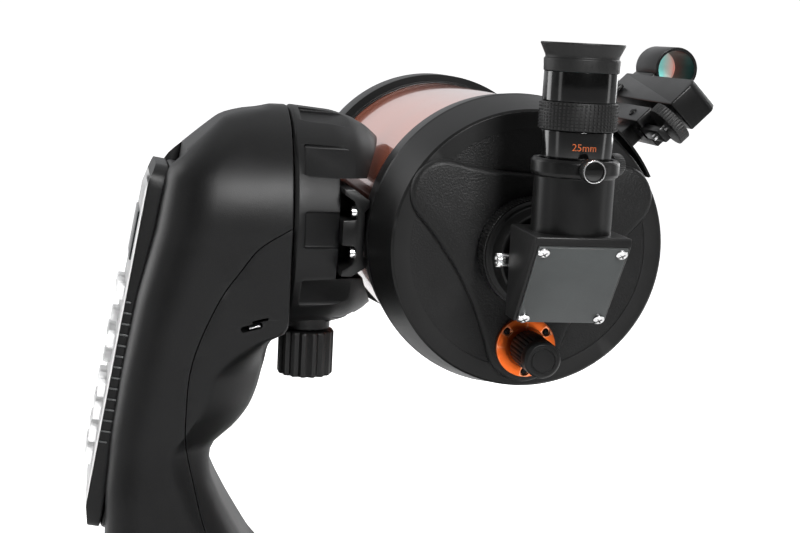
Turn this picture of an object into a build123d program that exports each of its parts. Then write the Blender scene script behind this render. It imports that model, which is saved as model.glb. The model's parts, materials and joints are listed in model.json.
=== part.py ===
from build123d import *
import os
from math import cos, sin, atan2, pi, radians, degrees

# Schmidt-Cassegrain telescope on a single-arm go-to mount, millimetres, +Z up.
# Origin: azimuth axis at the underside of the feet. The tube looks along +Y, the arm stands at -X.

# ---- driving dimensions ----
tube_x = 60.0             # optical axis, beside the azimuth axis
alt_z = 345.0             # height of the altitude axis
tube_r = 74.5             # outside radius of the main tube
tube_wall = 1.6
cell_r = 78.0             # widest radius of the rear cell
cell_face_r = 71.2        # radius of the rear cell's flat face
lip_front_y = -58.0       # where the rear cell starts to cover the tube
lip_rear_y = -81.0
cell_face_y = -114.0
lobe_face_y = -118.0      # raised three-lobed pad on the rear cell
front_cell_r = 80.3
front_cell_y0 = 121.0
front_cell_y1 = 152.0
aperture_r = 63.5         # 127 mm clear aperture

hub_r = 63.4
channel_floor_x = -90.0
channel_half_z = 27.3
saddle_r = 79.2           # hub is scooped out round the tube

base_r = 120.0
drum_r = 146.0
drum_z0 = 31.0
drum_z1 = 98.0
shaft_r = 16.0
socket_r = 12.2           # centring socket under the base
tripod_pcd = 100.0        # circle of the three bolts that hold the base to a tripod
tripod_hole_r = 4.25
door = dict(x0=52, x1=128, y=38, z=3)       # battery door in the drum's deck
switch = dict(x=20, y=-112, half=9)             # power switch beside the arm
running_gap = 0.05        # radial clearance of a shaft in its hole
case_gap = 0.4            # gap between neighbouring moulded parts

control_lean = 9.28       # lean of the arm's outer face, degrees
control_half_z = 103.5
control_half_y = 33.0
control_out = 11.0        # how far the hand control stands out of the arm
control_in = 8.5

barrel_r = 15.875         # 1.25 inch eyepiece barrel
holder_y = -182.3         # vertical axis of the star diagonal
holder_screw_gap = 120    # degrees between the two holder thumbscrews
finder_angle = 45.0       # clock position of the finder round the tube
knob_axis_x = -97.5       # clamp knob
screw_r = 4.0             # clamp knob's screw, which ends in the jaw
focus_z = -49.6

os.makedirs("parts", exist_ok=True)
altitude_place = Pos(tube_x, 0, alt_z)


# ---- helpers ----
def box(x0, x1, y0, y1, z0, z1):
    return Pos((x0 + x1) / 2, (y0 + y1) / 2, (z0 + z1) / 2) * Box(x1 - x0, y1 - y0, z1 - z0)


def cyl_x(r, x0, x1, y=0.0, z=0.0):
    return Pos((x0 + x1) / 2, y, z) * Rot(0, 90, 0) * Cylinder(r, x1 - x0)


def cyl_y(r, y0, y1, x=0.0, z=0.0):
    return Pos(x, (y0 + y1) / 2, z) * Rot(90, 0, 0) * Cylinder(r, y1 - y0)


def cyl_z(r, z0, z1, x=0.0, y=0.0):
    return Pos(x, y, (z0 + z1) / 2) * Cylinder(r, z1 - z0)


def turned_y(points):
    """Solid turned round the Y axis from (radius, y) points."""
    return revolve(make_face(Polyline(points, close=True)), Axis.Y)


def turned_x(points):
    """Solid turned round the X axis from (x, radius) points."""
    return revolve(make_face(Polyline(points, close=True)), Axis.X)


def turned_z(points):
    """Solid turned round the Z axis from (radius, z) points."""
    return revolve(Plane.XZ * make_face(Polyline(points, close=True)), Axis.Z)


def prism_y(points, half_y):
    """Outline of (x, z) points pulled both ways along Y."""
    face = Plane.XZ * make_face(Polyline(points, close=True))
    return extrude(face, half_y, both=True)


def prism_x(points, x0, x1):
    """Outline of (y, z) points pulled from x0 to x1."""
    face = Plane.YZ * make_face(Polyline(points, close=True))
    return Pos(x0, 0, 0) * extrude(face, x1 - x0)


def save(shape, node, place=altitude_place):
    parts = [place * solid for solid in shape.solids()]
    whole = parts[0] if len(parts) == 1 else Compound(children=parts)
    export_step(whole, f"parts/{node}.step")


def group(solids):
    return Compound(children=[s for shape in solids for s in shape.solids()])


# ---- base ----
ground = Location((0, 0, 0))


def base():
    plate = turned_z([(socket_r, 0), (62, 0), (66, 6), (base_r, 6), (base_r, 24), (base_r - 8, 30), (socket_r, 30)])
    for k in range(3):
        a = radians(90 + 120 * k)
        plate -= cyl_z(tripod_hole_r, -1, 31, tripod_pcd / 2 * cos(a), tripod_pcd / 2 * sin(a))
    save(plate, "base_plate", ground)
    feet = []
    ring = cyl_z(base_r - 4, 0, 6) - cyl_z(base_r - 26, -1, 7)
    for k in range(3):
        wedge = Polyline([(0, 0), (200, -95), (200, 95)], close=True)
        feet.append(ring & Rot(0, 0, 30 + 120 * k) * extrude(make_face(wedge), 6))
    save(group(feet), "base_feet", ground)
    shaft = cyl_z(shaft_r, 30, 80) - cyl_z(socket_r, 29, 81)
    gear = cyl_z(62, 66, 74) - cyl_z(shaft_r, 65, 75)
    save(group([shaft, gear]), "azimuth_shaft", ground)


def turntable():
    outer = turned_z([(0, drum_z0), (drum_r - 12, drum_z0), (drum_r, drum_z0 + 12), (drum_r, drum_z1 - 16),
                      (drum_r - 5, drum_z1 - 5), (drum_r - 16, drum_z1), (0, drum_z1)])
    cavity = turned_z([(26, drum_z0 + 4), (drum_r - 14, drum_z0 + 4), (drum_r - 4, drum_z0 + 14),
                       (drum_r - 4, drum_z1 - 18), (drum_r - 18, drum_z1 - 4), (26, drum_z1 - 4)])
    drum = outer - cavity - cyl_z(shaft_r + running_gap, drum_z0 - 1, 62)
    drum -= cyl_z(27, 62, drum_z1 - 4)
    drum -= box(door["x0"], door["x1"], -door["y"], door["y"], drum_z1 - 5, drum_z1 + 1)
    s = switch
    drum -= box(s["x"] - s["half"], s["x"] + s["half"], s["y"] - 6, s["y"] + 6, drum_z1 - 5, drum_z1 + 1)
    drum -= cyl_z(9.2, drum_z1 - 2.5, drum_z1 + 1, 20, 112)
    save(drum, "turntable_housing", ground)
    g = case_gap
    lid = box(door["x0"] + g, door["x1"] - g, -door["y"] + g, door["y"] - g, drum_z1 - door["z"], drum_z1)
    save(lid, "battery_door", ground)
    cells = [cyl_x(7.1, 66, 116, -28 + 18.6 * k, z) for k in range(4) for z in (43, 58)]
    save(group(cells), "battery_pack", ground)
    save(cyl_z(9, drum_z1 - 2.4, drum_z1 + 1.2, 20, 112), "bubble_level", ground)
    rocker = prism_y([(-7.5, 4), (0, 1.6), (7.5, 2.2), (7.5, -4), (-7.5, -4)], 5)
    rocker = Pos(s["x"], s["y"], drum_z1 - 0.6) * rocker
    rocker += cyl_y(1.2, s["y"] - 5.8, s["y"] + 5.8, s["x"], drum_z1 - 1.5)
    save(rocker, "power_switch", ground)
    motor = cyl_y(14, 40, 92, -72, 60) + cyl_y(7.5, -22, 39.7, -70, 70)
    save(motor, "azimuth_motor", ground)


# ---- arm ----
arm_front = [(-115, 62.8), (-129, 61.0), (-141, 59.4), (-150.5, 56.2), (-181, 28.5), (-186.5, -3.6),
             (-195.5, -41.5), (-203.5, -85), (-208.5, -118), (-211.5, -150), (-212.5, -175), (-211, -215),
             (-205, -246.6), (-62, -246.6), (-92, -226), (-118, -196), (-132, -172), (-148, -143),
             (-152, -130), (-148, -118), (-136, -107), (-128, -94), (-124.5, -80), (-121, -66), (-115, -60)]
arm_inner_front = [(-118, 58.5), (-141, 56.0), (-149, 53.0), (-177.5, 27), (-183, -3), (-192, -41.5),
                   (-200, -85), (-205, -118), (-208, -150), (-209, -175), (-207.5, -214), (-202, -243.6),
                   (-75, -243.6), (-95, -228), (-121, -197), (-135, -173), (-151, -143), (-155.4, -130),
                   (-151, -117), (-139, -106), (-131, -93), (-127.6, -80), (-124, -64), (-118, -58)]
seam_line = [(-115, 1), (-132, -10), (-142, -23), (-152, -38), (-162, -61), (-167, -80), (-168.3, -101),
             (-168, -120), (-163, -143), (-156, -169), (-140, -208), (-112, -246.6)]


def arm_side(grow):
    """Side outline of the arm: a round head on a waisted column."""
    head = cyl_x(63.3 + grow, -230, -100)
    column = [(-62.9 - grow, 0), (-56 - grow, -90), (-54 - grow, -130), (-60 - grow, -190), (-84 - grow, -250),
              (84 + grow, -250), (60 + grow, -190), (54 + grow, -130), (56 + grow, -90), (62.9 + grow, 0)]
    return head + prism_x(column, -230, -50)


def control_place():
    return Pos(-196.0, 0, -74) * Rot(0, control_lean, 0)


def arm():
    solid = prism_y(arm_front, 110) & arm_side(0)
    hollow = prism_y(arm_inner_front, 110) & arm_side(-3)
    pocket_wall = control_place() * box(-30, control_in + 3, -control_half_y - 3, control_half_y + 3,
                                        -control_half_z - 4, control_half_z + 40)
    pocket = control_place() * box(-30, control_in + case_gap, -control_half_y - case_gap,
                                   control_half_y + case_gap, -control_half_z - 1, control_half_z + 41)
    shell = (solid - hollow) + (solid & pocket_wall)
    shell -= pocket
    shell -= cyl_x(22, -125, -110)
    outside = seam_line + [(-260, -246.6), (-260, 80), (-115, 80)]
    outer = shell & prism_y(outside, 120)
    save(biggest(outer), "arm_outer_shell")
    inner = shell - prism_y(outside, 120)
    save(biggest(inner), "arm_inner_shell")
    plate = box(-165, -159, -26, 26, -240, 34) + cyl_x(24, -159, -140)
    plate += box(-196, -100, -40, 40, -243.4, -238)
    plate -= cyl_x(12 + running_gap, -170, -130)
    save(plate, "arm_frame")
    motor = cyl_y(12, -30, 28, -143, -76) + cyl_y(6, -18, 18, -132, -46.4)
    save(motor, "altitude_motor")


def biggest(shape):
    return max(shape.solids(), key=lambda s: s.volume)


# ---- hand control ----
def rounded_slab(x0, x1, half_y, z0, z1, r):
    return fillet(box(x0, x1, -half_y, half_y, z0, z1).edges().filter_by(Axis.X), r)


def key_spots():
    """Node name and list of (y, z) places on the hand control's face."""
    spots = {}
    for k, name in enumerate(("align", "enter", "undo")):
        spots[f"key_{name}"] = [(-19 + 19 * k, 30)]
    for name, y, z in (("up", 0, 14), ("left", -17, 2), ("right", 17, 2), ("down", 0, -10)):
        spots[f"key_{name}"] = [(y, z)]
    for row in range(4):
        spots[f"key_row_{row + 1}"] = [(-18 + 18 * k, -26 - 13 * row) for k in range(3)]
    return spots


key_half = (6.6, 3.9)


def hand_control():
    place = control_place()
    h = control_half_z
    front = rounded_slab(-control_out, -1.0, control_half_y, -h, h, 12)
    front -= box(-control_out + 2.5, 0, -control_half_y + 2.5, control_half_y - 2.5, -h + 8, h - 8)
    front -= box(-control_out - 1, -control_out + 3, -23, 23, 48, 76)
    for spots in key_spots().values():
        for y, z in spots:
            front -= box(-control_out - 1, -control_out + 3, y - key_half[0] - case_gap,
                         y + key_half[0] + case_gap, z - key_half[1] - case_gap, z + key_half[1] + case_gap)
    save(place * front, "control_front_case")
    back = rounded_slab(-0.8, control_in, control_half_y, -h, h, 12)
    back -= box(-1, control_in - 2.5, -control_half_y + 2.5, control_half_y - 2.5, -h + 8, h - 8)
    save(place * back, "control_back_case")
    save(place * box(-control_out + 0.8, -control_out + 2.3, -22.7, 22.7, 48.3, 75.7), "control_display")
    for node, spots in key_spots().items():
        caps = [box(-control_out - 4.2, -control_out + 4.6, y - key_half[0], y + key_half[0],
                    z - key_half[1], z + key_half[1]) for y, z in spots]
        save(place * group(caps), node)


# ---- hub ----
def hub():
    profile = [(-114.2, 0), (-114.2, 62.6), (-112.6, hub_r), (-106, 62.8), (-89, 61.2), (-77.5, 57.7),
               (-69, 53.2), (-60, 45.5), (-54, 39), (-54, 0)]
    body = turned_x(profile)
    body -= turned_x([(-111, 20), (-111, 55), (-94, 55), (-94, 20)])
    body -= cyl_y(saddle_r, -80, 80)
    body -= box(channel_floor_x, -40, -80, 80, -channel_half_z, channel_half_z)
    for k in range(10):
        body -= Rot(36 * k, 0, 0) * box(-108.5, -81, -80, -60.3, -9.8, 9.8)
    body += cyl_z(13.3, -63.8, -52, knob_axis_x, 0)
    body -= box(-109, -72, -22, 22, -56, -23)
    body -= cyl_z(screw_r + running_gap, -70, -50, knob_axis_x, 0)
    body -= cyl_x(12, -116, -100)
    save(biggest(body), "altitude_hub")
    shaft = cyl_x(12, -169, -100)
    wheel = cyl_x(40, -136, -128) - cyl_x(12, -137, -127)
    save(group([shaft, wheel]), "altitude_shaft")
    jaw = box(-108.5, -76.5, -21.6, 21.6, -50, -24)
    jaw -= cyl_z(screw_r + running_gap, -51, -44, knob_axis_x, 0)
    save(jaw, "clamp_jaw")
    flutes = [Pos(knob_axis_x + 16.6 * cos(pi * k / 8), 16.6 * sin(pi * k / 8), -80) * Cylinder(1.5, 40)
              for k in range(16)]
    knob = fillet(cyl_z(16, -92, -65.4, knob_axis_x, 0).edges(), 2.5)
    for flute in flutes:
        knob -= flute
    knob += cyl_z(screw_r, -66, -47.5, knob_axis_x, 0)
    save(knob, "clamp_knob")


# ---- tube ----
def lobe_pad():
    """Three round lobes joined by hollow sides, in the XZ plane."""
    discs = [Pos(-46.5, 28) * Circle(17), Pos(46.5, 28) * Circle(17), Pos(0, -49) * Circle(20)]
    outline = make_hull((discs[0] + discs[1] + discs[2]).edges())
    for a in (90, 210, 330):
        outline -= Pos(132.5 * cos(radians(a)), 132.5 * sin(radians(a))) * Circle(92)
    return outline


def optical_tube():
    ring = turned_y([(20, cell_face_y), (cell_face_r - 1.5, cell_face_y), (cell_face_r, cell_face_y + 1.5),
                     (cell_r, lip_rear_y), (77, lip_front_y), (tube_r, lip_front_y), (tube_r, -80),
                     (69, -80), (66.5, cell_face_y + 6), (20, cell_face_y + 6)])
    pad = extrude(Plane.XZ * lobe_pad(), 8)
    pad = Pos(0, lobe_face_y + 8, 0) * pad
    pad -= cyl_y(20, lobe_face_y - 1, 0)
    pad &= cyl_y(70, lobe_face_y, cell_face_y + 5)
    cell = ring + pad + (cyl_y(25, -128, lobe_face_y + 1) - cyl_y(20, -129, -100))
    cell -= box(-90, -75.3, -72, -50, -24, 24)
    cell -= cyl_y(3, -125, -100, 0, focus_z)
    save(cell, "rear_cell")
    save(cyl_y(tube_r, -79, 140) - cyl_y(tube_r - tube_wall, -80, 141), "main_tube")
    front = turned_y([(tube_r, front_cell_y0), (76, front_cell_y0), (front_cell_r, front_cell_y0 + 3.5),
                      (front_cell_r, front_cell_y1 - 2), (front_cell_r - 2, front_cell_y1),
                      (aperture_r + 1, front_cell_y1), (aperture_r + 1, 140.2), (tube_r, 140.2)])
    front -= turned_y([(aperture_r, 144), (69, 144), (69, 148.2), (aperture_r, 148.2)])
    front -= box(-90, -75.3, 110, 148, -24, 24)
    save(front, "front_cell")
    save(cyl_y(68.8, 144.2, 148) - cyl_y(21, 140, 150), "corrector_plate")
    holder = cyl_y(20.8, 143, 149.5) + cyl_y(24, 148.3, 153) + cyl_y(19, 132, 143)
    save(holder, "secondary_holder")
    save(cyl_y(18.5, 126, 132), "secondary_mirror")
    baffle = turned_y([(13.6, -127), (19.9, -127), (19.9, -104), (16.6, -100), (16.6, -50), (14.5, 30), (13, 30)])
    save(baffle, "baffle_tube")
    mirror = turned_y([(18.6, -78), (64, -78), (66, -76), (66, -66), (18.6, -69)])
    mirror += cyl_y(18.7, -86, -62) - cyl_y(16.6 + running_gap, -90, -60)
    save(mirror, "primary_mirror")
    section = [(-89.7, 23.2), (-84, 23.2), (-76, 18.4), (-75.6, 14), (-75.6, -14), (-76, -18.4), (-84, -23.2),
               (-89.7, -23.2), (-89.7, -19.6), (-79.8, -15.5), (-79.8, -6.6), (-89.7, -6.6), (-89.7, 6.6),
               (-79.8, 6.6), (-79.8, 15.5), (-89.7, 19.6)]
    bar = Pos(0, 37, 0) * prism_y(section, 108)
    save(bar, "dovetail_bar")
    heads = [cyl_x(3.4, -84.8, -79.9, y, z) for y in (-66, 140) for z in (-11, 11)]
    save(group(heads), "dovetail_screws")
    flange = cyl_y(15.6, -119.9, lobe_face_y, 0, focus_z) - cyl_y(3, -121, -110, 0, focus_z)
    save(flange, "focuser_flange")
    knob = fillet(cyl_y(9.4, -153, -121.5, 0, focus_z).edges(), 1.2)
    for k in range(20):
        a = 2 * pi * k / 20
        knob -= cyl_y(0.7, -149, -120, 9.5 * sin(a), focus_z + 9.5 * cos(a))
    knob += cyl_y(3 - running_gap, -122, -100, 0, focus_z)
    save(knob, "focus_knob")
    ring = cyl_y(28.5, -148, -121) - cyl_y(25.05, -128.2, -120) - cyl_y(18.1, -149, -120)
    save(ring, "visual_back_ring")
    back = cyl_y(18, -156.5, -129) - cyl_y(barrel_r + running_gap, -158, -128)
    back -= cyl_x(2.05, -19, -14, -152.5, 0)
    save(back, "visual_back_tube")
    screw = cyl_x(3.3, -27, -20.3, -152.5, 0) + cyl_x(2, -21, -16.1, -152.5, 0)
    save(screw, "visual_back_screw")


# ---- star diagonal and eyepiece ----
def diagonal():
    rear_way = Pos(0, holder_y, 0)
    side_way = rear_way * Rot(0, 0, holder_screw_gap)
    half = 22.6
    side = [(-159.3, 18.8), (-204, 18.8), (-204, 15.3), (-174, -25.5), (-159.3, -25.5)]
    body = prism_x(side, -half, half)
    body += cyl_y(barrel_r, -160, -130)
    body += cyl_z(18.7, 18, 46, 0, holder_y) + cyl_z(20.5, 45, 53, 0, holder_y)
    bore = cyl_z(barrel_r + running_gap, 14, 54, 0, holder_y)
    light_way = cyl_y(13, -180, -129)
    well = prism_x([(-162, 14), (-196, 14), (-196, 11), (-170, -22), (-162, -22)], -half + 3, half - 3)
    body = body - bore - light_way - well
    for way in (rear_way, side_way):
        body -= way * cyl_y(1.55, -22.7, -12.7, 0, 49.4)
    save(body, "diagonal_housing")
    slope = Pos(0, -189, -5.1) * Rot(180 + degrees(atan2(30, 40.8)), 0, 0)
    save(slope * box(-21.2, 21.2, 0.05, 1.5, -24.8, 24.8), "diagonal_plate")
    screws = [cyl_y(2.6, 1.5, 3.0, x, z) for x in (-18.4, 18.4) for z in (-21.6, 21.8)]
    save(slope * group(screws), "diagonal_screws")
    prism = prism_x([(-164, 12), (-190, 12), (-166, -18), (-164, -18)], -13, 13)
    save(prism, "diagonal_prism")
    screw = cyl_y(5.4, -29.7, -23, 0, 49.4) + cyl_y(1.5, -23.7, -16.4, 0, 49.4)
    save(rear_way * screw, "holder_screw_rear")
    save(side_way * screw, "holder_screw_side")


def eyepiece():
    at = Pos(0, holder_y, 0)
    barrel = turned_z([(12.8, 22), (barrel_r, 22), (barrel_r, 53.2), (16.4, 53.2), (16.8, 66), (16.2, 66),
                       (16.2, 79), (17.2, 79), (17.2, 92.6), (12.8, 92.6)])
    save(at * barrel, "eyepiece_barrel")
    save(at * turned_z([(16.2, 66), (18.1, 66), (18.4, 72), (18.1, 78.8), (16.2, 78.8)]), "eyepiece_grip")
    cup = turned_z([(10, 92.6), (17.5, 92.6), (17.7, 98.8), (17.1, 99),
                    (19.6, 105.6), (18.8, 105.8), (15.8, 98.6), (10, 97)])
    save(at * cup, "eyecup")
    save(at * (cyl_z(12.8, 82, 90) + cyl_z(12.8, 70, 76)), "eyepiece_lenses")


# ---- finder ----
def finder():
    """Built above the tube at twelve o'clock, then turned round it."""
    place = Rot(0, finder_angle, 0)
    foot = (cyl_y(79.6, -95, -62) - cyl_y(78.1, -96, -60)) & prism_y([(0, 0), (-30, 100), (30, 100)], 120)
    post = box(-5, 5, -92, -74, 79, 87)
    block = box(-9.2, 9.2, -109, -48, 86, 97) - box(-4, 4, -130, -100, 85, 98)
    tail = box(-4, 4, -130, -104, 86, 90)
    ears = box(-12.2, -9.3, -44, -30, 91, 108) + box(9.3, 12.2, -44, -30, 91, 108)
    bracket = foot + post + block + tail + ears + box(-12.2, 12.2, -50, -30, 88, 97)
    bracket -= cyl_x(1.55, -20, 20, -36, 104)
    bracket -= cyl_z(1.55, 80, 99, 0, -122)
    save(place * bracket, "finder_bracket")
    beam = box(-9, 9, -128, -23, 100.9, 118.9)
    beam += box(-7, 7, -57, -26, 118, 123)
    beam += cyl_y(12.1, -58, -25, 0, 132.8)
    beam -= cyl_y(10.2, -59, -24, 0, 132.8)
    beam += cyl_x(1.5, -12.2, 12.2, -36, 104)
    save(place * beam, "finder_body")
    save(place * cyl_y(10.15, -30, -28, 0, 132.8), "finder_lens")
    wheel = cyl_z(11.5, 92.5, 98.5, 0, -122)
    for k in range(24):
        a = 2 * pi * k / 24
        wheel -= cyl_z(0.7, 92, 99, 11.6 * sin(a), -122 + 11.6 * cos(a))
    wheel += cyl_z(1.5, 84, 98.7, 0, -122)
    save(place * wheel, "finder_wheel")


base()
turntable()
arm()
hand_control()
hub()
optical_tube()
diagonal()
eyepiece()
finder()
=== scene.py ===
import json
import math

import bpy
from mathutils import Matrix, Vector


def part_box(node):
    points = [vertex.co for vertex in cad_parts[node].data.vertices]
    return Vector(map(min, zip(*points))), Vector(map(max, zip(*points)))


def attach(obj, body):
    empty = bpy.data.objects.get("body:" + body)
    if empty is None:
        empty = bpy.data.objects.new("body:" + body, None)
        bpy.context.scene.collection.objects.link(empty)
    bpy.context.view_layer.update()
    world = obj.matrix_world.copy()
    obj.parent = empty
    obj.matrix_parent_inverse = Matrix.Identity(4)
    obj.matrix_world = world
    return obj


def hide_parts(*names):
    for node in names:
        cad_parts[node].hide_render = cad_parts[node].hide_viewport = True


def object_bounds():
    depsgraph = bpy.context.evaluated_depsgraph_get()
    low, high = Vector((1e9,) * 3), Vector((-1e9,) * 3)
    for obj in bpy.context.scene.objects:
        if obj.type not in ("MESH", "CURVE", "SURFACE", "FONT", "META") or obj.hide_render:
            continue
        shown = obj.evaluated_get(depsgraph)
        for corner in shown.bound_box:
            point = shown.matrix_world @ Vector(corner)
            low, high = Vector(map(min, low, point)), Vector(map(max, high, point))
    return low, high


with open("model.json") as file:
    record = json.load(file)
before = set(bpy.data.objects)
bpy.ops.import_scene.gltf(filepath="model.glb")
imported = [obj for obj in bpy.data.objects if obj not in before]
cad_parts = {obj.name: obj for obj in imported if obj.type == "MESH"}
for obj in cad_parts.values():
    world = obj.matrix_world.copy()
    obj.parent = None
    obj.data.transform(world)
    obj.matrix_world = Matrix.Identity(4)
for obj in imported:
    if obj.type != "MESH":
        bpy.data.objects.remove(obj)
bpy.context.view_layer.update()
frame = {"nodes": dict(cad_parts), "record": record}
mm = 0.001
record = frame["record"]

# the heart of the telescope: where the altitude axis meets the tube's own axis
tubeLow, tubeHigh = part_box("main_tube")
heart = Vector(((tubeLow.x + tubeHigh.x) / 2, 0, (tubeLow.z + tubeHigh.z) / 2))
axes = {"X": Vector((1, 0, 0)), "Y": Vector((0, 1, 0)), "Z": Vector((0, 0, 1))}
across = {"X": Vector((0, 0, 1)), "Y": Vector((0, 0, 1)), "Z": Vector((1, 0, 0))}


def spot(x, y, z):
    # a place given in millimetres from the heart of the telescope
    return heart + Vector((x, y, z)) * mm


print("stage: frame loaded")


class Value:
    # a socket that sums can be written with
    def __init__(self, finish, socket):
        self.finish = finish
        self.socket = socket

    def sum(self, operation, first, second):
        return self.finish.node("ShaderNodeMath", {"operation": operation}, {0: first, 1: second})

    def __add__(self, other):
        return self.sum("ADD", self, other)

    def __radd__(self, other):
        return self.sum("ADD", other, self)

    def __sub__(self, other):
        return self.sum("SUBTRACT", self, other)

    def __rsub__(self, other):
        return self.sum("SUBTRACT", other, self)

    def __mul__(self, other):
        return self.sum("MULTIPLY", self, other)

    def __rmul__(self, other):
        return self.sum("MULTIPLY", other, self)


class Finish:
    # one material and the nodes that it is made of
    def __init__(self, name):
        self.material = bpy.data.materials.new(name)
        self.material.use_nodes = True
        self.tree = self.material.node_tree
        self.tree.nodes.clear()

    def node(self, kind, settings, inputs, output=0):
        made = self.tree.nodes.new(kind)
        for key, value in settings.items():
            setattr(made, key, value)
        for key, value in inputs.items():
            if isinstance(value, Value):
                self.tree.links.new(value.socket, made.inputs[key])
            else:
                made.inputs[key].default_value = value
        return Value(self, made.outputs[output]) if made.outputs else None

    def place(self):
        return self.node("ShaderNodeTexCoord", {}, {}, "Object")

    def noise(self, size, detail=2.0, rough=0.5, place=None):
        inputs = {"Vector": place or self.place(), "Scale": 1 / size, "Detail": detail,
                "Roughness": rough}
        return self.node("ShaderNodeTexNoise", {}, inputs, "Fac")

    def mix(self, share, first, second):
        return self.node("ShaderNodeMix", {"data_type": "RGBA"}, {0: share, 6: first, 7: second}, 2)

    def spread(self, value, low, high, start, end):
        inputs = {0: value, 1: low, 2: high, 3: start, 4: end}
        return self.node("ShaderNodeMapRange", {"clamp": True}, inputs)

    def bump(self, height, depth, strength=1.0, under=None):
        inputs = {"Height": height, "Distance": depth, "Strength": strength}
        if under:
            inputs["Normal"] = under
        return self.node("ShaderNodeBump", {}, inputs)

    def surface(self, inputs):
        shader = self.node("ShaderNodeBsdfPrincipled", {}, inputs)
        self.node("ShaderNodeOutputMaterial", {}, {"Surface": shader})
        return self.material


def grey(level, tint=(1, 1, 1)):
    return (level * tint[0], level * tint[1], level * tint[2], 1)


def mouldedFinish(name, look):
    # plastic or paint with a fine grain, uneven gloss, faint mottling and rubbed edges
    made = Finish(name)
    grain = made.noise(look["grain"], 3.0, 0.6)
    patches = made.noise(look["patches"], 3.0, 0.55)
    edges = made.node("ShaderNodeNewGeometry", {}, {}, "Pointiness")
    worn = made.spread(edges, 0.52, 0.62, 0, look["worn"])
    mottled = made.mix(made.spread(patches, 0.35, 0.65, 0, 1), look["dark"], look["light"])
    speckled = made.mix(made.spread(grain, 0.55, 0.75, 0, look["speckle"]), mottled, look["fleck"])
    colour = made.mix(worn, speckled, look["rubbed"])
    gloss = look["roughness"] + (patches - 0.5) * look["unevenness"]
    normal = made.bump(grain, look["depth"], look["strength"])
    return made.surface({"Base Color": colour, "Roughness": gloss, "Normal": normal,
                         "Metallic": look["metal"], "Specular IOR Level": look["shine"],
                         "Coat Weight": look["coat"], "Coat Roughness": 0.06})


def glassWithPaintedReflection(name):
    # a thin coated lens with its coating's reflection painted in: teal on one side, rose on the other,
    # made to glow by emission, and half seen through
    made = Finish(name)
    sides = made.node("ShaderNodeSeparateXYZ", {}, {"Vector": made.place()}, "X")
    ripple = made.noise(9 * mm, 2.0)
    share = made.spread(sides + (ripple - 0.5) * 0.004, paintedCoatingReflection["from"], paintedCoatingReflection["to"], 0, 1)
    colour = made.mix(share, paintedCoatingReflection["teal"], paintedCoatingReflection["rose"])
    shade = made.node("ShaderNodeFresnel", {}, {"IOR": 1.5})
    # the lens glows by emission in the painted reflection colour
    return made.surface({"Base Color": colour, "Roughness": 0.05, "Alpha": shade * 0.3 + 0.7,
                         "Emission Color": colour, "Emission Strength": 0.5, "Specular IOR Level": 0.9})


ringLow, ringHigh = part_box("finder_lens")
# teal and rose of the lens coating's painted reflection, split across the lens from side to side
paintedCoatingReflection = {"from": (ringLow.x * 0.4 + ringHigh.x * 0.6), "to": ringHigh.x,
           "teal": (0.16, 0.60, 0.56, 1), "rose": (0.80, 0.34, 0.28, 1)}

plainMoulding = {"grain": 0.55 * mm, "patches": 28 * mm, "worn": 0.35, "speckle": 0.35, "metal": 0,
        "coat": 0,
                 "dark": grey(0.0022, (1, 1.01, 1.05)), "light": grey(0.003, (1, 1.01, 1.05)),
                 "fleck": grey(0.016), "rubbed": grey(0.022), "roughness": 0.42, "unevenness": 0.10,
                 "depth": 0.10 * mm, "strength": 0.55, "shine": 0.15}

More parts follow.
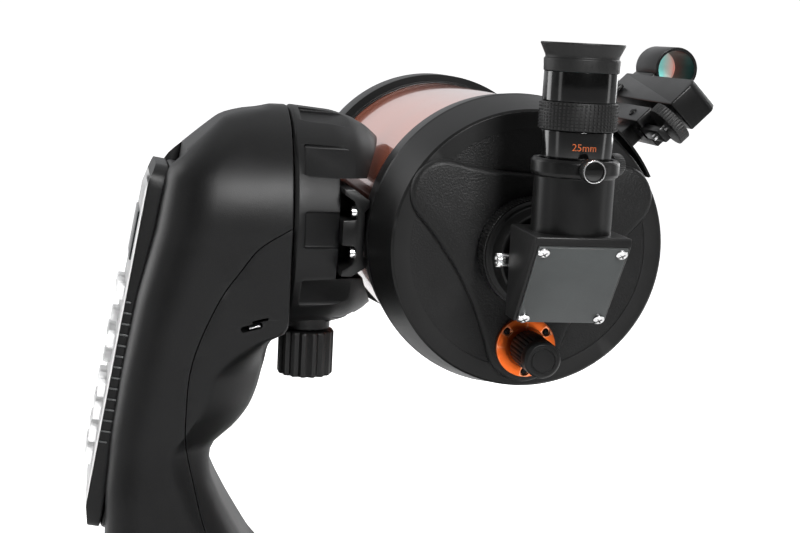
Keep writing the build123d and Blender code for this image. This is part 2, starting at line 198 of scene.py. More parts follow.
finishes = {
    "dark_casing": mouldedFinish("darkCasing", plainMoulding),
    "drum_casing": mouldedFinish("drumCasing", plainMoulding | {"patches": 40 * mm, "roughness": 0.48}),
    "cast_black": mouldedFinish("castBlack", plainMoulding | {
        "grain": 0.5 * mm, "patches": 22 * mm, "roughness": 0.38, "strength": 0.35,
        "dark": grey(0.0025), "light": grey(0.0035), "fleck": grey(0.012)}),
    "hammered_black": mouldedFinish("hammeredBlack", plainMoulding | {
        "grain": 1.0 * mm, "depth": 0.30 * mm, "strength": 0.9, "roughness": 0.42,
        "dark": grey(0.0028), "light": grey(0.0045), "fleck": grey(0.02)}),
    "black_aluminium": mouldedFinish("blackAluminium", plainMoulding | {
        "grain": 0.35 * mm, "roughness": 0.30, "dark": grey(0.002), "light": grey(0.003),
        "strength": 0.3}),
    "grey_aluminium": mouldedFinish("greyAluminium", plainMoulding | {
        "grain": 0.4 * mm, "roughness": 0.34, "metal": 0.5, "dark": grey(0.028, (0.9, 1, 1)),
        "light": grey(0.036, (0.9, 1, 1)),
        "fleck": grey(0.08), "rubbed": grey(0.2)}),
    "gloss_black": mouldedFinish("glossBlack", plainMoulding | {
        "grain": 0.8 * mm, "roughness": 0.13, "unevenness": 0.05, "strength": 0.06, "speckle": 0.1,
        "dark": grey(0.001), "light": grey(0.0016), "shine": 0.4}),
    "black_rubber": mouldedFinish("blackRubber", plainMoulding | {
        "grain": 0.3 * mm, "roughness": 0.48, "dark": grey(0.003), "light": grey(0.0042), "shine": 0.2}),
    "chrome": mouldedFinish("chrome", plainMoulding | {
        "grain": 0.2 * mm, "roughness": 0.20, "metal": 1, "dark": grey(0.42), "light": grey(0.52),
        "fleck": grey(0.8), "rubbed": grey(0.9), "strength": 0.08}),
    "steel": mouldedFinish("steel", plainMoulding | {
        "grain": 0.25 * mm, "roughness": 0.30, "metal": 1, "dark": grey(0.36), "light": grey(0.45),
        "fleck": grey(0.6), "rubbed": grey(0.7), "strength": 0.2}),
    "orange_tube": mouldedFinish("orangeTube", plainMoulding | {
        "grain": 0.25 * mm, "roughness": 0.16, "metal": 0.55, "coat": 1.0,
        "dark": (0.50, 0.070, 0.030, 1),
        "light": (0.58, 0.085, 0.036, 1), "fleck": (0.85, 0.30, 0.18, 1), "rubbed": (0.9, 0.4, 0.25, 1),
        "strength": 0.12, "speckle": 0.5}),
    "orange_anodised": mouldedFinish("orangeAnodised", plainMoulding | {
        "grain": 0.2 * mm, "roughness": 0.30, "metal": 0.9, "dark": (0.52, 0.085, 0.012, 1),
        "light": (0.60, 0.11, 0.016, 1), "fleck": (0.75, 0.2, 0.05, 1), "rubbed": (0.9, 0.5, 0.3, 1),
        "strength": 0.2}),
    "key_rubber": mouldedFinish("keyRubber", plainMoulding | {
        "grain": 0.4 * mm, "roughness": 0.45, "dark": grey(0.66), "light": grey(0.74), "fleck": grey(0.8),
        "rubbed": grey(0.85), "strength": 0.25}),
    "control_grey": mouldedFinish("controlGrey", plainMoulding | {
        "roughness": 0.42, "dark": grey(0.40), "light": grey(0.45), "fleck": grey(0.5),
        "rubbed": grey(0.6)}),
    "display_glass": mouldedFinish("displayGlass", plainMoulding | {
        "roughness": 0.08, "unevenness": 0.02, "dark": (0.012, 0.016, 0.018, 1),
        "light": (0.02, 0.025, 0.026, 1),
        "strength": 0.02}),
    "lens_glass": glassWithPaintedReflection("lensGlassPaintedReflection"),
    "mirror_silver": mouldedFinish("mirrorSilver", plainMoulding | {
        "roughness": 0.03, "unevenness": 0.02, "metal": 1, "dark": grey(0.85), "light": grey(0.88),
        "strength": 0.0}),
    "battery_wrap": mouldedFinish("batteryWrap", plainMoulding | {
        "roughness": 0.3, "dark": (0.05, 0.09, 0.03, 1), "light": (0.07, 0.12, 0.04, 1)}),
    "level_fluid": mouldedFinish("levelFluid", plainMoulding | {
        "roughness": 0.06, "dark": (0.25, 0.55, 0.06, 1), "light": (0.32, 0.62, 0.09, 1),
        "strength": 0.0}),
    "motor_steel": mouldedFinish("motorSteel", plainMoulding | {
        "roughness": 0.35, "metal": 1, "dark": grey(0.25), "light": grey(0.32)}),
}
slotOf = {part["node"]: part["material_slot"] for part in record["subparts"]}
for nodeName, node in frame["nodes"].items():
    node.data.materials.clear()
    node.data.materials.append(finishes[slotOf[nodeName]])
print("stage: finishes made")

# camera, lights, floor and world
view = {"place": (-211.1, -847.7, 105.8), "yaw": 0.1946, "pitch": 0.154, "roll": 0.0516, "lens": 67.5}


def addCamera():
    look = Vector((math.sin(view["yaw"]) * math.cos(view["pitch"]),
                   math.cos(view["yaw"]) * math.cos(view["pitch"]), -math.sin(view["pitch"])))
    right = Vector((math.cos(view["yaw"]), -math.sin(view["yaw"]), 0))
    up = right.cross(look)
    turn = view["roll"]
    tipped = right * math.cos(turn) + up * math.sin(turn)
    upright = up * math.cos(turn) - right * math.sin(turn)
    bpy.ops.object.camera_add()
    camera = bpy.context.object
    camera.name = "camera"
    grid = Matrix((tipped, upright, -look)).transposed().to_4x4()
    camera.matrix_world = Matrix.Translation(spot(*view["place"])) @ grid
    camera.data.lens = view["lens"]
    camera.data.sensor_width = 36
    camera.data.clip_start = 0.02
    camera.data.clip_end = 200
    bpy.context.scene.camera = camera


softBoxes = {
    "left": {"place": (-1300, -350, 500), "size": (260, 1800), "power": 3},
    "right": {"place": (1300, -350, 500), "size": (260, 1800), "power": 4},
    "front": {"place": (110, -1350, 800), "size": (300, 420), "power": 44},
    "top": {"place": (0, 100, 1500), "size": (1600, 1600), "power": 8},
    "backLeft": {"place": (-1100, 700, 300), "size": (500, 1200), "power": 9},
    "backRight": {"place": (1000, 900, 500), "size": (600, 1200), "power": 10},
}


def addLights():
    for name, box in softBoxes.items():
        bpy.ops.object.light_add(type="AREA", location=spot(*box["place"]))
        lamp = bpy.context.object
        lamp.name = name
        lamp.data.shape = "RECTANGLE"
        lamp.data.size = box["size"][0] * mm
        lamp.data.size_y = box["size"][1] * mm
        lamp.data.energy = box["power"]
        lamp.rotation_euler = (heart - lamp.location).to_track_quat("-Z", "Y").to_euler()


def addFloor():
    low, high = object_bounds()
    bpy.ops.mesh.primitive_plane_add(size=60, location=(0, 0, low.z - 0.0002))
    floor = bpy.context.object
    floor.name = "studioFloor"
    made = Finish("paleFloor")
    tone = made.noise(0.4, 2.0)
    colour = made.mix(tone, grey(0.86), grey(0.9))
    seen = made.node("ShaderNodeLightPath", {}, {}, "Is Camera Ray")
    floor.data.materials.append(made.surface({
        "Base Color": colour, "Roughness": 0.6, "Specular IOR Level": 0.1,
        "Emission Color": made.mix(seen, grey(0.2), colour), "Emission Strength": 0.98}))


room = {"spread": (-0.25, 0.75, 0.04, 0.7), "background": 1.02}


def addWorld():
    world = bpy.data.worlds.new("studio")
    bpy.context.scene.world = world
    world.use_nodes = True
    tree = world.node_tree
    tree.nodes.clear()
    rays = tree.nodes.new("ShaderNodeLightPath")
    seen = tree.nodes.new("ShaderNodeBackground")
    felt = tree.nodes.new("ShaderNodeBackground")
    seen.inputs[0].default_value = (1, 1, 1, 1)
    seen.inputs[1].default_value = room["background"]
    felt.inputs[0].default_value = (0.97, 0.98, 1, 1)
    # the room is bright beyond the object and dim on the camera's side
    place = tree.nodes.new("ShaderNodeTexCoord")
    split = tree.nodes.new("ShaderNodeSeparateXYZ")
    spread = tree.nodes.new("ShaderNodeMapRange")
    tree.links.new(place.outputs["Generated"], split.inputs[0])
    tree.links.new(split.outputs["Y"], spread.inputs[0])
    for number, value in enumerate(room["spread"], start=1):
        spread.inputs[number].default_value = value
    tree.links.new(spread.outputs[0], felt.inputs[1])
    mixed = tree.nodes.new("ShaderNodeMixShader")
    out = tree.nodes.new("ShaderNodeOutputWorld")
    tree.links.new(rays.outputs["Is Camera Ray"], mixed.inputs[0])
    tree.links.new(felt.outputs[0], mixed.inputs[1])
    tree.links.new(seen.outputs[0], mixed.inputs[2])
    tree.links.new(mixed.outputs[0], out.inputs[0])


addCamera()
addLights()
addFloor()
addWorld()
bpy.context.scene.view_settings.view_transform = "Standard"
print("stage: camera, lights and floor")

# ways of making a mesh


def letGo():
    if bpy.context.object and bpy.context.object.mode == "EDIT":
        bpy.ops.object.mode_set(mode="OBJECT")
    bpy.ops.object.select_all(action="DESELECT")


def pick(*pieces):
    letGo()
    for piece in pieces:
        piece.select_set(True)
    bpy.context.view_layer.objects.active = pieces[0]


def rounded(outline, radius, steps=4, closed=True):
    # the outline with each corner made an arc; a third number in a point is its own radius
    made = []
    count = len(outline)
    for number, corner in enumerate(outline):
        here = Vector(corner[:2])
        reach = corner[2] if len(corner) > 2 else radius
        atEnd = not closed and number in (0, count - 1)
        if atEnd or reach <= 0:
            made.append(tuple(here))
            continue
        before = Vector(outline[number - 1][:2]) - here
        after = Vector(outline[(number + 1) % count][:2]) - here
        opening = before.angle(after)
        back = min(reach / math.tan(opening / 2), before.length * 0.48, after.length * 0.48)
        start = here + before.normalized() * back
        end = here + after.normalized() * back
        for step in range(steps + 1):
            share = step / steps
            bend = start * (1 - share) ** 2 + here * 2 * share * (1 - share) + end * share ** 2
            made.append(tuple(bend))
    return made


def arc(x, y, radius, start, end, steps):
    # points round a centre, angles in degrees
    angles = [math.radians(start + (end - start) * step / steps) for step in range(steps + 1)]
    return [(x + radius * math.cos(angle), y + radius * math.sin(angle)) for angle in angles]


def traced(name, points):
    # one vertex drawn along a line, as a joined chain of edges
    letGo()
    bpy.ops.mesh.primitive_plane_add(size=mm, location=points[0])
    piece = bpy.context.object
    piece.name = name
    bpy.ops.object.mode_set(mode="EDIT")
    bpy.ops.mesh.merge(type="CENTER")
    for before, after in zip(points, points[1:]):
        bpy.ops.mesh.extrude_region_move(TRANSFORM_OT_translate={"value": after - before})
    bpy.ops.mesh.select_all(action="SELECT")
    return piece


def tidyMesh(piece):
    pick(piece)
    bpy.ops.object.mode_set(mode="EDIT")
    bpy.ops.mesh.select_all(action="SELECT")
    bpy.ops.mesh.remove_doubles(threshold=0.002 * mm)
    bpy.ops.mesh.normals_make_consistent(inside=False)
    bpy.ops.object.mode_set(mode="OBJECT")
    return piece


def turned(name, centre, axis, outline, steps=128):
    # an outline of (radius, place along the axis) spun round; it closes on itself or on the axis
    points = [centre + (across[axis] * radius + axes[axis] * along) * mm for radius, along in outline]
    if outline[0][0] > 0:
        points.append(points[0])
    piece = traced(name, points)
    bpy.ops.mesh.spin(steps=steps, angle=2 * math.pi, center=centre, axis=axes[axis])
    return tidyMesh(piece)


def slab(name, axis, outline, low, high, centre=None):
    # a flat outline pulled out along an axis
    centre = heart if centre is None else centre
    places = {"X": lambda a, b: (low, a, b), "Y": lambda a, b: (a, low, b), "Z": lambda a, b: (a, b, low)}
    piece = traced(name, [centre + Vector(places[axis](*point)) * mm for point in outline])
    bpy.ops.mesh.edge_face_add()
    bpy.ops.mesh.select_all(action="SELECT")
    bpy.ops.mesh.extrude_region_move(TRANSFORM_OT_translate={"value": axes[axis] * (high - low) * mm})
    return tidyMesh(piece)


def block(name, x0, x1, y0, y1, z0, z1, centre=None):
    return slab(name, "Z", [(x0, y0), (x1, y0), (x1, y1), (x0, y1)], z0, z1, centre)


def fluted(name, centre, axis, low, high, radius, depth, count, sharp=1.0):
    # a knob: a round outline with grooves, pulled out along its axis
    steps = count * 6
    outline = []
    for step in range(steps):
        angle = 2 * math.pi * step / steps
        groove = max(0, math.cos(count * angle)) ** sharp
        reach = radius - depth * groove
        outline.append((reach * math.cos(angle), reach * math.sin(angle)))
    return slab(name, axis, outline, low, high, centre)


def finished(piece, kind, **settings):
    # one modifier, added and applied
    pick(piece)
    modifier = piece.modifiers.new(kind.lower(), kind)
    for key, value in settings.items():
        setattr(modifier, key, value)
    bpy.ops.object.modifier_apply(modifier=modifier.name)
    return piece


def eased(piece, width, segments=3, angle=40):
    return finished(piece, "BEVEL", width=width * mm, segments=segments, limit_method="ANGLE",
                    angle_limit=math.radians(angle), use_clamp_overlap=True)


def joined(*pieces):
    pick(*pieces)
    bpy.ops.object.join()
    return bpy.context.object


def shaped(piece, operation, *tools):
    # a piece cut by others, added to them or kept only where they are
    tool = joined(*tools) if len(tools) > 1 else tools[0]
    finished(piece, "BOOLEAN", operation=operation, object=tool, solver="EXACT", use_self=len(tools) > 1)
    bpy.data.objects.remove(tool)
    return piece


def copied(piece, name):
    pick(piece)
    bpy.ops.object.duplicate()
    bpy.context.object.name = name
    return bpy.context.object


def settled(piece):
    # its place goes into the mesh, and the object stays at the origin
    pick(piece)
    bpy.ops.object.transform_apply(location=True, rotation=True, scale=True)
    return piece


def moved(piece, grid):
    settled(piece)
    piece.data.transform(grid)
    return piece


def about(centre, axis, degrees):
    turn = Matrix.Rotation(math.radians(degrees), 4, axes[axis])
    return Matrix.Translation(centre) @ turn @ Matrix.Translation(-centre)


def dressed(piece, slotName, body, *nodes, smooth=32):
    settled(piece)
    bpy.ops.object.shade_smooth_by_angle(angle=math.radians(smooth))
    piece.data.materials.clear()
    piece.data.materials.append(finishes[slotName])
    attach(piece, body)
    if nodes:
        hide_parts(*nodes)
    return piece


def wrapped(name, rings):
    # a grid of vertices laid on closed rings, one above another, with its ends capped
    around, up = len(rings[0]), len(rings)
    letGo()
    bpy.ops.mesh.primitive_grid_add(x_subdivisions=around, y_subdivisions=up - 1, size=1)
    piece = bpy.context.object
    piece.name = name
    for number, vertex in enumerate(piece.data.vertices):
        row, column = divmod(number, around + 1)
        vertex.co = rings[row][column % around]
    tidyMesh(piece)
    bpy.ops.object.mode_set(mode="EDIT")
    bpy.ops.mesh.select_mode(type="EDGE")
    bpy.ops.mesh.select_all(action="DESELECT")
    bpy.ops.mesh.select_non_manifold()
    bpy.ops.mesh.edge_face_add()
    bpy.ops.mesh.select_mode(type="VERT")
    return tidyMesh(piece)


# the hand control in its cradle on the arm's outer side, built upright and then leaned
control = {
    "lean": 9.28, "halfWide": 33, "halfTall": 103.5, "deep": 8.5, "room": 0.5, "out": 11,
    "place": (-196.0, 0, -74), "ribs": 14, "ribTop": 27, "ribGap": 6.09,
    "ribStart": -9.5, "ribMiddle": 7, "ribReach": -1.2, "ribFall": 5.6,
}


def makeControl():
    place = spot(*control["place"])
    lean = about(place, "Y", control["lean"])
    wide, tall = control["halfWide"], control["halfTall"]
    made = []

    def caseSide(inset):
        return rounded([(inset - wide, inset - tall), (wide - inset, inset - tall),
                        (wide - inset, tall - inset), (inset - wide, tall - inset)], 13 - inset, 6)

    back = eased(slab("controlBackCase", "X", caseSide(0), 0, control["deep"], place), 2.2, 4, 60)
    made.append((back, "dark_casing", "hand_control", ["control_back_case"]))
    side = eased(slab("controlFrontCase", "X", caseSide(0), -10.0, -0.4, place), 0.9, 3, 60)
    made.append((side, "dark_casing", "hand_control", ["control_front_case"]))
    face = slab("controlFace", "X", caseSide(1.3), -control["out"], -9.2, place)
    eased(face, 0.9, 3, 60)
    for piece in (side, face):
        ends = [slab("end", "Y", [(-30, 84), (-11.4, 86), (-7.2, 105), (-7.2, 120), (-30, 120)], -50,
                50, place),
                slab("end", "Y", [(-30, -84), (-30, -120), (-6.4, -120), (-6.4, -105), (-11.4, -84)],
                     -50, 50, place)]
        shaped(piece, "DIFFERENCE", ends[0])
        shaped(piece, "DIFFERENCE", ends[1])
    made.append((face, "control_grey", "hand_control", []))
    glass = eased(slab("controlDisplay", "X", rounded([(-22.8, 48.2), (22.8, 48.2), (22.8, 75.8),
            (-22.8, 75.8)], 2),
                       -12.0, -9.8, place), 0.5, 3)
    made.append((glass, "display_glass", "hand_control", ["control_display"]))
    for number in range(control["ribs"]):
        height = control["ribTop"] - control["ribGap"] * number
        # the ribs are longest near the middle of the row
        middle = control["ribMiddle"]
        reach = control["ribReach"] - control["ribFall"] * ((number - middle) / middle) ** 2
        for end in (-1, 1):
            rib = slab("controlRib", "X", rounded([(-2.6, -0.45), (2.6, -0.45), (2.6, 0.45),
                    (-2.6, 0.45)], 0.3, 2),
                       control["ribStart"], reach, place + Vector((0, end * 31.2, height)) * mm)
            eased(rib, 0.3, 2, 60)
            made.append((rib, "grey_aluminium", "hand_control", []))
    for node, object in frame["nodes"].items():
        if node.startswith("key_"):
            made += keyCaps(node, place, lean.inverted())
    for piece, slotName, body, nodes in made:
        moved(piece, lean)
        dressed(piece, slotName, body, *nodes, smooth=40)


def keyCaps(node, place, upright):
    # a rubber cap over each of the node's keys
    mesh = frame["nodes"][node].data
    spots = [(upright @ vertex.co - place) / mm for vertex in mesh.vertices]
    # each key is a plain block in the node, so its sides come in pairs
    sides = sorted({round(point.y, 1) for point in spots})
    lowZ, highZ = min(point.z for point in spots), max(point.z for point in spots)
    out = min(point.x for point in spots)
    caps = []
    for lowY, highY in zip(sides[::2], sides[1::2]):
        outline = rounded([(lowY, lowZ), (highY, lowZ), (highY, highZ), (lowY, highZ)], 1.8, 4)
        cap = slab(node + "_cap", "X", outline, out, -7, place)
        eased(cap, 0.9, 3, 60)
        caps.append(cap)
    return [(cap, "key_rubber", node, [node]) for cap in caps]


# the fork arm: level sections from the deck up to the round head
arm = {
    "outer": [(62.9, -124), (61.0, -129.5), (59.4, -141), (56.2, -150.5), (28.5, -181), (-3.6, -186.5),
              (-41.5, -195.5), (-85, -203), (-118, -207.5), (-150, -209.8), (-175, -210),
              (-215, -208.5), (-246.6, -203)],
    "inner": [(62.9, -115), (-57, -115), (-59, -118), (-61, -122.5), (-66, -124), (-80, -124.6),
            (-94, -127.5),
              (-104, -131), (-112, -136), (-119, -143), (-125, -152), (-132, -153.5), (-143, -152.5),
              (-158, -146),
              (-172, -138.5), (-196, -124), (-226, -97), (-246.6, -69)],
    "half": [(-8, 62.7), (-50, 59.5), (-90, 56), (-130, 54), (-190, 60), (-230, 76), (-246.6, 84)],
    "innerCorner": [(62.9, 0.8), (-52, 0.8), (-60, 6), (-70, 20), (-82, 30), (-112, 30), (-128, 24),
                    (-150, 22), (-190, 26), (-246.6, 40)],
    "outerCorner": [(62.9, 12), (30, 26), (0, 30), (-60, 24), (-150, 18), (-246.6, 30)],
    "flatness": [(62.9, 0), (-64, 0), (-78, 0.75), (-118, 0.8), (-134, 0.35), (-246.6, 0.1)],
    "headRadius": 63.3, "cornerSteps": 9, "sideSteps": 5,
    "seam": [(-115, 1), (-132, -10), (-142, -23), (-152, -38), (-162, -61), (-167, -80), (-168.3, -101),
             (-168, -120), (-163, -143), (-156, -169), (-140, -208), (-112, -247)],
    "seamGap": 0.55,
}


def alongOf(table, height):
    # a value read from (height, value) pairs, eased between them
    if height >= table[0][0]:
        return table[0][1]
    for (high, first), (low, second) in zip(table, table[1:]):
        if height >= low:
            return first + (second - first) * (high - height) / (high - low)
    return table[-1][1]


def smoothOf(table, height, reach):
    # the same value, averaged over a short way up and down so that its corners are soft
    samples = [alongOf(table, height + reach * step / 4) for step in range(-4, 5)]
    return sum(samples) / len(samples)


def armCorner(corner, flatness, steps):
    # a round corner, flattened part of the way to a bevel
    bend = arc(*corner, steps)
    first, last = Vector(bend[0]), Vector(bend[-1])
    return [tuple(Vector(point).lerp(first.lerp(last, step / steps), flatness)) for step,
            point in enumerate(bend)]


def through(points, steps):
    # a smooth line through the points
    ends = [points[0]] + points + [points[-1]]
    made = [points[0]]
    for number in range(1, len(ends) - 2):
        a, b, c, d = [Vector(point) for point in ends[number - 1:number + 3]]
        for step in range(1, steps + 1):
            t = step / steps
            made.append(tuple((b * 2 + (c - a) * t + (a * 2 - b * 5 + c * 4 - d) * t ** 2
                               + (b * 3 - a - c * 3 + d) * t ** 3) / 2))
    return made


def armSection(height):
    near = max(0.2, min(4, (61 - height) / 3))
    outer = smoothOf(arm["outer"], height, near)
    inner = smoothOf(arm["inner"], height, 0.5 if height > -70 else 3)
    if height > -8:
        half = math.sqrt(arm["headRadius"] ** 2 - height ** 2)
    else:
        half = smoothOf(arm["half"], height, 8)
    room = min(half, (inner - outer) / 2) * 0.96
    innerCorner = min(smoothOf(arm["innerCorner"], height, 3), room)
    outerCorner = min(smoothOf(arm["outerCorner"], height, 6), room)
    steps = arm["cornerSteps"]
    corners = [(inner - innerCorner, half - innerCorner, innerCorner, 0, 90),
               (outer + outerCorner, half - outerCorner, outerCorner, 90, 180),
               (outer + outerCorner, outerCorner - half, outerCorner, 180, 270),
               (inner - innerCorner, innerCorner - half, innerCorner, 270, 360)]
    points = []
    flatness = smoothOf(arm["flatness"], height, 5)
    for number, corner in enumerate(corners):
        bend = armCorner(corner, flatness if number in (0, 3) else 0, steps)
        nextCorner = corners[(number + 1) % 4]
        start = Vector(bend[-1])
        end = Vector(arc(*nextCorner, steps)[0])
        points += bend[:-1]
        points += [tuple(start.lerp(end, step / arm["sideSteps"])) for step in range(arm["sideSteps"])]
    return [spot(x, y, height) for x, y in points]


def armLevels():
    # close together round the top of the head, evenly spaced down the column
    head = [arm["headRadius"] * math.sin(math.radians(83.4 - 3.2 * step)) for step in range(29)]
    low = arm["outer"][-1][0]
    column = [head[-1] - 4 - (head[-1] - 4 - low) * step / 60 for step in range(61)]
    return head + column


def makeArm():
    body = wrapped("armBody", [armSection(height) for height in armLevels()])
    place = spot(-196.5, 0, -66)
    lean = about(place, "Y", control["lean"])
    room = control["room"]
    pocketSide = [(-control["halfWide"] - room, -control["halfTall"] - room),
                  (control["halfWide"] + room, -control["halfTall"] - room),
                  (control["halfWide"] + room, control["halfTall"] + 40),
                  (-control["halfWide"] - room, control["halfTall"] + 40)]
    pocket = slab("pocket", "X", rounded(pocketSide, 12), -30, control["deep"] + room, place)
    moved(pocket, lean)
    shaped(body, "DIFFERENCE", pocket)
    slots = []
    for x, z, length, high, tilt in ((-134.7, -53.9, 12, 3.4, 15), (-130.2, -50.1, 9, 1.6, 15)):
        outline = rounded([(-length / 2, -high / 2), (length / 2, -high / 2),
                           (length / 2, high / 2), (-length / 2, high / 2)], high * 0.48)
        slot = slab("slot", "Y", outline, -70, -50, spot(x, 0, z))
        slots.append(moved(slot, about(spot(x, 0, z), "Y", -tilt)))
    shaped(body, "DIFFERENCE", *slots)
    seam = through(arm["seam"], 5)
    outside = seam + [(-260, -250), (-260, 90), (-114, 90)]
    gap = arm["seamGap"]
    inside = [(x + gap, z - gap * 0.7) for x, z in seam] + [(-20, -250), (-20, 1 - gap)]
    innerShell = copied(body, "armInnerShell")
    shaped(innerShell, "INTERSECT", slab("inside", "Y", inside, -120, 120))
    outerShell = body
    outerShell.name = "armOuterShell"
    shaped(outerShell, "INTERSECT", slab("outside", "Y", outside, -120, 120))
    for shell, node in ((outerShell, "arm_outer_shell"), (innerShell, "arm_inner_shell")):
        tidyMesh(shell)
        eased(shell, 0.45, 2, 55)
        dressed(shell, "dark_casing", "turntable", node, smooth=38)
    # a bright steel strip inside the lower slot: a painted highlight standing in for light falling on the
    # slot's lower wall
    slotHighlight = block("slotHighlightStrip", -1.5, 4.6, -60.4, -55, -0.3, 0.4, spot(-134.7, 0, -53.9))
    moved(slotHighlight, about(spot(-134.7, 0, -53.9), "Y", -15))
    dressed(eased(slotHighlight, 0.2), "steel", "turntable")


# the hub that turns on the arm and holds the tube
hub = {
    "profile": [(0, -114.2), (61.6, -114.2), (63.4, -112.4, 1.2), (62.8, -106, 6), (61.2, -89, 30),
            (57.7, -77.5, 30),
                (53.2, -69, 20), (45.5, -60, 20), (39, -54, 4), (0, -54)],
    "pockets": 10, "pocketHalf": 9.9, "pocketStart": -109, "pocketFloor": 60.2, "pocketFall": 3.0,
    "saddle": 79.2, "channelFloor": -90, "channelHalf": 27.3, "knob": -97.5,
}


def makeHub():
    body = turned("hub", heart, "X", rounded(hub["profile"], 0, 5, closed=False), 180)
    cutters = [turned("saddle", heart, "Y", [(0, -80), (hub["saddle"], -80), (hub["saddle"], 80),
            (0, 80)], 160),
               block("channel", hub["channelFloor"], -40, -80, 80, -hub["channelHalf"],
                     hub["channelHalf"])]
    shaped(body, "DIFFERENCE", cutters[0])
    shaped(body, "DIFFERENCE", cutters[1])
    side = [(-hub["pocketHalf"], 0), (hub["pocketHalf"], 0), (hub["pocketHalf"], 14),
            (-hub["pocketHalf"], 14)]
    corner = spot(hub["pocketStart"], 0, hub["pocketFloor"])
    pockets = []
    for number in range(hub["pockets"]):
        cutter = slab("pocket", "X", rounded(side, 1.6, 3), 0, 40, corner)
        eased(cutter, 1.3, 3, 60)
        moved(cutter, about(corner, "Y", hub["pocketFall"]))
        moved(cutter, about(heart, "X", 90 + 360 / hub["pockets"] * number))
        pockets.append(cutter)
    for cutter in pockets:
        shaped(body, "DIFFERENCE", cutter)
    boss = turned("boss", spot(hub["knob"], 0, 0), "Z",
                  rounded([(0, -64.6), (13.4, -64.6), (13.4, -50), (0, -50)], 1.2, closed=False), 64)
    shaped(body, "UNION", boss)
    opening = block("opening", -109, -72, -22, 22, -56, -23)
    shaped(body, "DIFFERENCE", opening)
    tidyMesh(body)
    eased(body, 0.6, 2, 42)
    dressed(body, "dark_casing", "altitude_hub", "altitude_hub", smooth=38)
    knob = fluted("clampKnob", spot(hub["knob"], 0, 0), "Z", -92, -65.3, 16, 1.5, 16, 0.7)
    eased(knob, 2.4, 4, 60)
    dressed(knob, "black_rubber", "clamp_knob", "clamp_knob", smooth=45)
    stem = turned("clampStem", spot(hub["knob"], 0, 0), "Z",
                  [(0, -68), (9, -68), (9, -65), (3.9, -64.8), (3.9, -47.6), (0, -47.6)], 48)
    dressed(stem, "steel", "clamp_knob")


# the optical tube: rear cell, tube and front cell
tube = {
    "wall": 74.5, "inside": 72.9, "from": -78, "to": 140,
    "rear": [(75.0, -58), (76.7, -57.9, 0.7), (78, -80.4, 0.8), (77.5, -82, 0.5), (71.6, -113.2, 0.8),
            (70.4, -114.4, 0.6),
             (62, -114.4), (62, -108), (73, -79), (75.0, -76)],
    "front": [(74.6, 121), (76.2, 121, 0.4), (80.3, 124.4, 0.9), (80.3, 150.2, 1.5), (78.2, 152, 1.0),
            (64.8, 152, 1.2),
              (64.3, 144), (68, 141.5), (74.6, 141.5)],
    "lobes": [(46.5, 28, 17), (-46.5, 28, 17), (0, -49, 20)],
}


def lobedOutline():
    # three round lobes joined by hollow sides
    outline = []
    lobes = tube["lobes"]
    for number, (x, z, radius) in enumerate(lobes):
        out = math.degrees(math.atan2(z, x))
        reach = 74 if number < 2 else 70
        bend = arc(x, z, radius, out - reach, out + reach, 14)
        nextX, nextZ, nextRadius = lobes[(number + 1) % 3]
        nextOut = math.degrees(math.atan2(nextZ, nextX))
        nextReach = 74 if number == 0 else 70 if number == 1 else 74
        end = Vector(arc(nextX, nextZ, nextRadius, nextOut - nextReach, nextOut, 1)[0])
        start = Vector(bend[-1])
        middle = (start + end) / 2
        middle -= middle.normalized() * 5.2
        outline += bend
        for step in range(1, 10):
            share = step / 10
            lifted = middle * 2 - (start + end) / 2
            pulled = start * (1 - share) ** 2 + lifted * 2 * share * (1 - share) + end * share ** 2
            outline.append(tuple(pulled))
    return outline


def makeTube():
    wall = turned("mainTube", heart, "Y", [(tube["inside"], tube["from"]), (tube["wall"], tube["from"]),
                                            (tube["wall"], tube["to"]), (tube["inside"], tube["to"])],
                                            200)
    dressed(wall, "orange_tube", "optical_tube", "main_tube")
    rear = turned("rearCellWall", heart, "Y", rounded(tube["rear"], 0, 4), 200)
    dressed(rear, "cast_black", "optical_tube", "rear_cell")
    face = turned("rearCellFace", heart, "Y", rounded([(0, -110), (0, -114), (69.6, -114, 0.4),
            (70.9, -113.2), (66, -110)],
                                                     0, 3, closed=False), 160)
    dressed(face, "hammered_black", "optical_tube")
    pad = slab("rearCellPad", "Y", lobedOutline(), -112, -118.2)
    eased(pad, 3.6, 4, 70)
    dressed(pad, "hammered_black", "optical_tube", smooth=50)
    front = turned("frontCell", heart, "Y", rounded(tube["front"], 0, 4), 200)
    notch = block("notch", -90, -75.4, 110, 148, -24, 24)
    shaped(front, "DIFFERENCE", notch)
    eased(front, 0.5, 2, 50)
    dressed(front, "cast_black", "optical_tube", "front_cell", smooth=36)
    rim = turned("frontCellRim", heart, "Y", rounded([(74.6, 119.2), (75.3, 119.2), (75.3, 122),
            (74.6, 122)], 0.3, 2), 160)
    dressed(rim, "black_aluminium", "optical_tube")


# what is fastened to the rear cell: visual back, its screw, focuser flange and knob
back = {
    "ringRadius": 28.5, "ringFrom": -121, "ringTo": -133, "knurls": 110,
    "focusHeight": -49.6, "flangeRadius": 15.6, "flangeTo": -121.2, "knobRadius": 9.4,
    "knobFrom": -121.8, "knobTo": -153,
}


def screwHead(name, radius, high, centre, steps=32):
    # a domed head with a cross in it, standing along Z
    head = turned(name, centre, "Z", rounded([(0, 0), (radius, 0), (radius * 0.98, high * 0.55, 0.3),
                                              (radius * 0.6, high * 0.95, 0.8), (0, high)], 0, 4,
                                              closed=False), steps)
    arms = []
    for angle in (0, 90):
        bar = block("cross", -radius * 0.58, radius * 0.58, -radius * 0.14, radius * 0.14, high * 0.35,
                high * 1.5, centre)
        arms.append(moved(bar, about(centre, "Z", angle + 35)))
    for bar in arms:
        shaped(head, "DIFFERENCE", bar)
    return head


